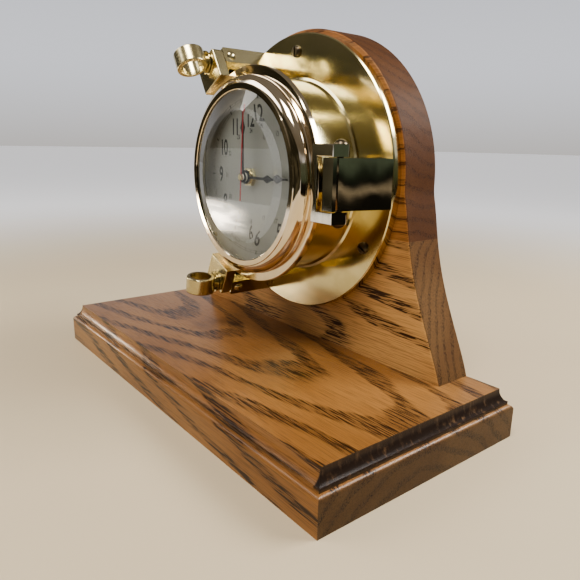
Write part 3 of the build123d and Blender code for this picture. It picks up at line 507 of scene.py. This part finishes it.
def make_floor():
    b = bmesh.new()
    corners = [(-FLOOR_HALF, -FLOOR_HALF), (FLOOR_HALF, -FLOOR_HALF), (FLOOR_HALF, FLOOR_HALF),
               (-FLOOR_HALF, FLOOR_HALF)]
    b.faces.new([b.verts.new((x, y, BASE_LOW.z)) for x, y in corners])
    mesh = bpy.data.meshes.new("floor")
    b.to_mesh(mesh)
    b.free()
    floor = bpy.data.objects.new("floor", mesh)
    bpy.context.scene.collection.objects.link(floor)
    g = Graph("floor")
    cloud = g.noise(g.place((0.01, 0.01, 0.01)), detail=3.0)
    place = g.place()
    far = g.between(g.vector("LENGTH", place, output=1), *FLOOR_WARM)
    warm = g.mix(cloud, (0.60, 0.50, 0.35), (0.56, 0.47, 0.33))
    # Painted light: the floor glows, dim near the clock and brighter far off.
    glow = g.mix(far, (0.07, 0.058, 0.040), (0.50, 0.50, 0.52))
    mesh.materials.append(g.finish(Base_Color=g.mix(far, warm, (0.62, 0.61, 0.60)), Roughness=0.6,
                                   Emission_Color=glow, Emission_Strength=1.0))


def area_light(name, place, size, power, colour):
    data = bpy.data.lights.new(name, "AREA")
    data.shape = "RECTANGLE"
    data.size, data.size_y = size
    data.energy = power
    data.color = colour
    light = bpy.data.objects.new(name, data)
    bpy.context.scene.collection.objects.link(light)
    direction = (Vector(LOOK_AT) - Vector(place)).normalized()
    turn = direction.to_track_quat("-Z", "Y").to_matrix().to_4x4()
    light.matrix_world = Matrix.Translation(place) @ turn


def make_world():
    """Pale room with lavender-grey walls and a dim ceiling; reflections see olive towards the front."""
    world = bpy.data.worlds.new("room")
    bpy.context.scene.world = world
    world.use_nodes = True
    tree = world.node_tree
    g = Graph.__new__(Graph)
    g.tree = tree
    direction = g.add("ShaderNodeTexCoord", output=0)
    parts = [g.add("ShaderNodeSeparateXYZ", {0: direction}, output=i) for i in range(3)]
    walls = g.ramp(g.between(parts[2], -0.25, 1.0), [
        (0.0, (0.52, 0.47, 0.40)), (0.22, (0.86, 0.87, 0.92)), (0.40, (0.76, 0.77, 0.83)),
        (0.60, (0.18, 0.155, 0.12)), (1.0, (0.24, 0.215, 0.18))])
    cloud = g.noise(g.vector("MULTIPLY", direction, (1.0, 1.0, 3.0)), scale=1.7, detail=3.0)
    olive = g.mix(g.between(cloud, 0.4, 0.62), (0.032, 0.029, 0.017), (0.10, 0.087, 0.056))
    ahead = g.math("MULTIPLY", g.between(parts[1], -0.15, -0.45), g.between(parts[2], 0.42, 0.2))
    seen = g.add("ShaderNodeLightPath", output=0)
    sky = g.mix(seen, g.mix(ahead, walls, olive), walls)
    g.set(tree.nodes["Background"], "Color", sky)
    g.set(tree.nodes["Background"], "Strength", WORLD_STRENGTH)


def card(name, corners, material):
    """A card that only shows in reflections."""
    b = bmesh.new()
    b.faces.new([b.verts.new(c) for c in corners])
    mesh = bpy.data.meshes.new(name)
    b.to_mesh(mesh)
    b.free()
    mesh.materials.append(material)
    piece = bpy.data.objects.new(name, mesh)
    bpy.context.scene.collection.objects.link(piece)
    piece.visible_camera = False
    piece.visible_diffuse = False
    piece.visible_shadow = False
    piece.visible_transmission = False


def dark_room_card():
    """The unlit side of the room that the hinge arm mirrors."""
    g = Graph("dark_room")
    place = g.place()
    height = g.add("ShaderNodeSeparateXYZ", {0: place}, output=2)
    wave = g.noise(g.vector("MULTIPLY", place, (0.0, 0.045, 0.020)), detail=2.0)
    level = g.math("MULTIPLY_ADD", wave, 44.0, height)
    tone = g.ramp(g.between(level, 0.0, 320.0), [
        (0.0, (0.012, 0.010, 0.006)), (0.24, (0.010, 0.009, 0.006)), (0.27, (0.24, 0.19, 0.125)),
        (0.295, (0.13, 0.105, 0.07)), (0.315, (0.008, 0.008, 0.006)), (0.36, (0.020, 0.024, 0.015)),
        (0.42, (0.070, 0.085, 0.056)), (1.0, (0.10, 0.11, 0.08))], smooth=False)
    g.finish(Base_Color=(0, 0, 0, 1), Roughness=1.0, Specular_IOR_Level=0.0, Emission_Color=tone,
             Emission_Strength=1.0)
    x, y0, y1, top = DARK_CARD
    card("dark_room", [(x, y0, 0), (x, y1, 0), (x, y1, top), (x, y0, top)], g.material)


def dim_room_card():
    """The unlit room beyond the table, in front of the clock at its left, that the glass mirrors."""
    g = Graph("dim_room")
    cloud = g.noise(g.place((0.003, 0.003, 0.009)), detail=3.0)
    tone = g.mix(g.between(cloud, 0.4, 0.62), (0.028, 0.025, 0.015), (0.085, 0.074, 0.048))
    g.finish(Base_Color=(0, 0, 0, 1), Roughness=1.0, Specular_IOR_Level=0.0, Emission_Color=tone,
             Emission_Strength=1.0)
    y, x0, x1, top = DIM_CARD
    card("dim_room", [(x0, y, 0), (x1, y, 0), (x1, y, top), (x0, y, top)], g.material)


def bright_card():
    """The sunlit table edge that the glass mirrors at its lower left."""
    g = Graph("sunlit")
    place = g.place()
    parts = [g.add("ShaderNodeSeparateXYZ", {0: place}, output=i) for i in range(3)]
    cloud = g.noise(g.vector("MULTIPLY", place, (0.02, 0.0, 0.12)), detail=2.0)
    tone = g.mix(cloud, (1.0, 0.95, 0.84), (0.95, 0.78, 0.58))
    across = g.math("MULTIPLY", g.between(parts[0], -330.0, -285.0), g.between(parts[0], -185.0, -255.0))
    upward = g.math("MULTIPLY", g.between(parts[2], 45.0, 56.0), g.between(parts[2], 84.0, 66.0))
    streak = g.math("MULTIPLY_ADD", g.between(cloud, 0.38, 0.62), 0.6, 0.4)
    g.finish(Base_Color=(0, 0, 0, 1), Roughness=1.0, Specular_IOR_Level=0.0, Emission_Color=tone,
             Emission_Strength=50.0,
             Alpha=g.math("MULTIPLY", g.math("MULTIPLY", across, upward), streak))
    card("sunlit_edge", [(x, SUNLIT_Y, z) for x, z in SUNLIT_OUTLINE], g.material)


make_camera()
make_floor()
make_world()
dark_room_card()
dim_room_card()
bright_card()
for light in LIGHTS:
    area_light(*light)
bpy.context.scene.view_settings.look = "AgX - Medium High Contrast"
